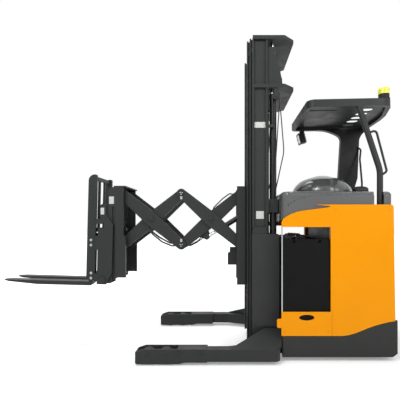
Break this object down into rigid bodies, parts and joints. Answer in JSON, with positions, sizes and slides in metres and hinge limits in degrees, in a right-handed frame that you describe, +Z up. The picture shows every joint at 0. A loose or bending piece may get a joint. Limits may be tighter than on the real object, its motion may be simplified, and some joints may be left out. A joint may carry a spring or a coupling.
{
  "type": "double deep reach truck",
  "caption": "Stand-up electric reach truck with straddle legs, a three-stage mast, a double scissor reach and tilting forks",
  "frame": {"origin": "on the floor under the centre of the bounding box", "axes": "+X forward to the forks, +Y to the truck's left, +Z up"},
  "size_m": [3.7267, 1.27, 2.89],
  "materials": {
    "frame_grey": "satin",
    "panel_orange": "satin",
    "cover_grey": "gloss",
    "battery_black": "satin",
    "cylinder_black": "satin",
    "chrome_rod": "polished",
    "fork_steel": "satin",
    "drive_iron": "satin",
    "beacon_yellow": "gloss",
    "black_plastic": "matte",
    "rubber_mat": "matte",
    "hose_rubber": "satin",
    "zinc_plate": "satin",
    "wheel_tyre": "matte"
  },
  "bodies": {
    "truck": {"leg_left": "frame_grey", "leg_right": "frame_grey", "mast_outer": "frame_grey", "lift_cylinders": "cylinder_black", "chassis": "frame_grey", "side_panel_left": "panel_orange", "side_panel_right": "panel_orange", "battery_stays": "zinc_plate", "inner_walls": "frame_grey", "rear_door": "panel_orange", "battery": "battery_black", "cover": "cover_grey", "overhead_guard": "frame_grey", "guard_post_left": "frame_grey", "grab_handle_left": "frame_grey", "guard_column_right": "frame_grey", "cover_dome": "cover_grey", "side_rest": "cover_grey", "grab_handle_right": "frame_grey", "beacon_base": "black_plastic", "beacon_lens": "beacon_yellow", "work_lamp": "black_plastic", "floor_mat": "rubber_mat", "pedals": "black_plastic", "console": "cover_grey", "steering_wheel": "black_plastic", "control_lever": "black_plastic", "back_pad": "black_plastic", "mast_hoses": "hose_rubber", "battery_cables": "hose_rubber"},
    "mast_middle": {"mast_middle": "frame_grey", "lift_rods": "chrome_rod"},
    "mast_inner": {"mast_inner": "frame_grey"},
    "reach_carriage": {"reach_carriage": "frame_grey"},
    "rear_inner_arms": {"scissor_rear_inner": "frame_grey", "hoses_rear": "hose_rubber"},
    "rear_outer_arms": {"scissor_rear_outer": "frame_grey"},
    "front_outer_arms": {"scissor_front_outer": "frame_grey", "hoses_front": "hose_rubber"},
    "front_inner_arms": {"scissor_front_inner": "frame_grey"},
    "reach_barrels": {"reach_cylinders": "cylinder_black"},
    "reach_pistons": {"reach_rods": "chrome_rod"},
    "fork_frame": {"fork_frame": "frame_grey"},
    "fork_carriage": {"fork_carriage": "frame_grey", "fork_left": "fork_steel", "fork_right": "fork_steel", "load_backrest": "frame_grey"},
    "tilt_barrel": {"tilt_cylinder": "cylinder_black"},
    "tilt_piston": {"tilt_rod": "chrome_rod"},
    "drive_unit": {"drive_unit": "drive_iron"},
    "drive_wheel": {"drive_wheel": "wheel_tyre"},
    "caster_fork": {"caster_fork": "drive_iron"},
    "caster_wheels": {"caster_wheels": "wheel_tyre"},
    "load_wheel_left_front": {"load_wheel_left_front": "wheel_tyre"},
    "load_wheel_left_rear": {"load_wheel_left_rear": "wheel_tyre"},
    "load_wheel_right_front": {"load_wheel_right_front": "wheel_tyre"},
    "load_wheel_right_rear": {"load_wheel_right_rear": "wheel_tyre"}
  },
  "joints": [
    {"name": "load_wheel_left_front_spin", "type": "hinge", "parent": "truck", "child": "load_wheel_left_front", "pos_m": [0.3671, 0.574, 0.067], "axis": [0, 1, 0], "continuous": true},
    {"name": "load_wheel_left_rear_spin", "type": "hinge", "parent": "truck", "child": "load_wheel_left_rear", "pos_m": [0.2211, 0.574, 0.067], "axis": [0, 1, 0], "continuous": true},
    {"name": "load_wheel_right_front_spin", "type": "hinge", "parent": "truck", "child": "load_wheel_right_front", "pos_m": [0.3671, -0.574, 0.067], "axis": [0, 1, 0], "continuous": true},
    {"name": "load_wheel_right_rear_spin", "type": "hinge", "parent": "truck", "child": "load_wheel_right_rear", "pos_m": [0.2211, -0.574, 0.067], "axis": [0, 1, 0], "continuous": true},
    {"name": "steering", "type": "hinge", "parent": "truck", "child": "drive_unit", "pos_m": [-1.4939, -0.31, 0.41], "axis": [0, 0, 1], "range_deg": [-90, 90]},
    {"name": "drive_wheel_spin", "type": "hinge", "parent": "drive_unit", "child": "drive_wheel", "pos_m": [-1.4939, -0.31, 0.165], "axis": [0, 1, 0], "continuous": true},
    {"name": "caster_swivel", "type": "hinge", "parent": "truck", "child": "caster_fork", "pos_m": [-1.5759, 0.33, 0.22], "axis": [0, 0, 1], "continuous": true},
    {"name": "caster_spin", "type": "hinge", "parent": "caster_fork", "child": "caster_wheels", "pos_m": [-1.6179, 0.33, 0.075], "axis": [0, 1, 0], "continuous": true},
    {"name": "lift_middle", "type": "slide", "parent": "truck", "child": "mast_middle", "axis": [0, 0, 1], "range_m": [0, 1.85]},
    {"name": "lift_inner", "type": "slide", "parent": "mast_middle", "child": "mast_inner", "axis": [0, 0, 1], "range_m": [0, 1.85]},
    {"name": "free_lift", "type": "slide", "parent": "mast_inner", "child": "reach_carriage", "axis": [0, 0, 1], "range_m": [-0.53, 1.3]},
    {"name": "reach", "type": "hinge", "parent": "reach_carriage", "child": "rear_inner_arms", "pos_m": [-0.4279, 0, 1.474], "axis": [0, 1, 0], "range_deg": [-4, 34]},
    {"name": "rear_crossing", "type": "hinge", "parent": "rear_inner_arms", "child": "rear_outer_arms", "pos_m": [-0.14187, 0, 1.22535], "axis": [0, 1, 0], "range_deg": [-70, 10]},
    {"name": "lower_middle_joint", "type": "hinge", "parent": "rear_inner_arms", "child": "front_outer_arms", "pos_m": [0.14417, 0, 0.97671], "axis": [0, 1, 0], "range_deg": [-70, 10]},
    {"name": "front_crossing", "type": "hinge", "parent": "front_outer_arms", "child": "front_inner_arms", "pos_m": [0.4302, 0, 1.22535], "axis": [0, 1, 0], "range_deg": [-10, 70]},
    {"name": "fork_frame_pin", "type": "hinge", "parent": "front_outer_arms", "child": "fork_frame", "pos_m": [0.71624, 0, 1.474], "axis": [0, 1, 0], "range_deg": [-6, 36]},
    {"name": "reach_barrel_pivot", "type": "hinge", "parent": "reach_carriage", "child": "reach_barrels", "pos_m": [-0.5459, 0, 1.33], "axis": [0, 1, 0], "range_deg": [-6, 38]},
    {"name": "reach_rod_slide", "type": "slide", "parent": "reach_barrels", "child": "reach_pistons", "axis": [0.8495, 0, -0.5276], "range_m": [-0.13, 0.02]},
    {"name": "tilt", "type": "hinge", "parent": "fork_frame", "child": "fork_carriage", "pos_m": [0.88224, 0, 0.652], "axis": [0, 1, 0], "range_deg": [-2.5, 4.5]},
    {"name": "tilt_barrel_pivot", "type": "hinge", "parent": "fork_frame", "child": "tilt_barrel", "pos_m": [0.73624, 0, 1.122], "axis": [0, 1, 0], "range_deg": [-4, 4]},
    {"name": "tilt_rod_slide", "type": "slide", "parent": "tilt_barrel", "child": "tilt_piston", "axis": [0.9852, 0, -0.1711], "range_m": [-0.04, 0.05]}
  ],
  "couplings": [
    {"joint": "lift_inner", "follows": "lift_middle", "ratio": 1},
    {"joint": "rear_crossing", "follows": "reach", "ratio": -2},
    {"joint": "lower_middle_joint", "follows": "reach", "ratio": -2},
    {"joint": "front_crossing", "follows": "reach", "ratio": 2},
    {"joint": "fork_frame_pin", "follows": "reach", "ratio": 1},
    {"joint": "reach_barrel_pivot", "follows": "reach", "ratio": 1.0478},
    {"joint": "reach_rod_slide", "follows": "reach", "m_per_rad": -0.18172},
    {"joint": "tilt_barrel_pivot", "follows": "tilt", "ratio": -0.24434},
    {"joint": "tilt_rod_slide", "follows": "tilt", "m_per_rad": 0.43919}
  ]
}
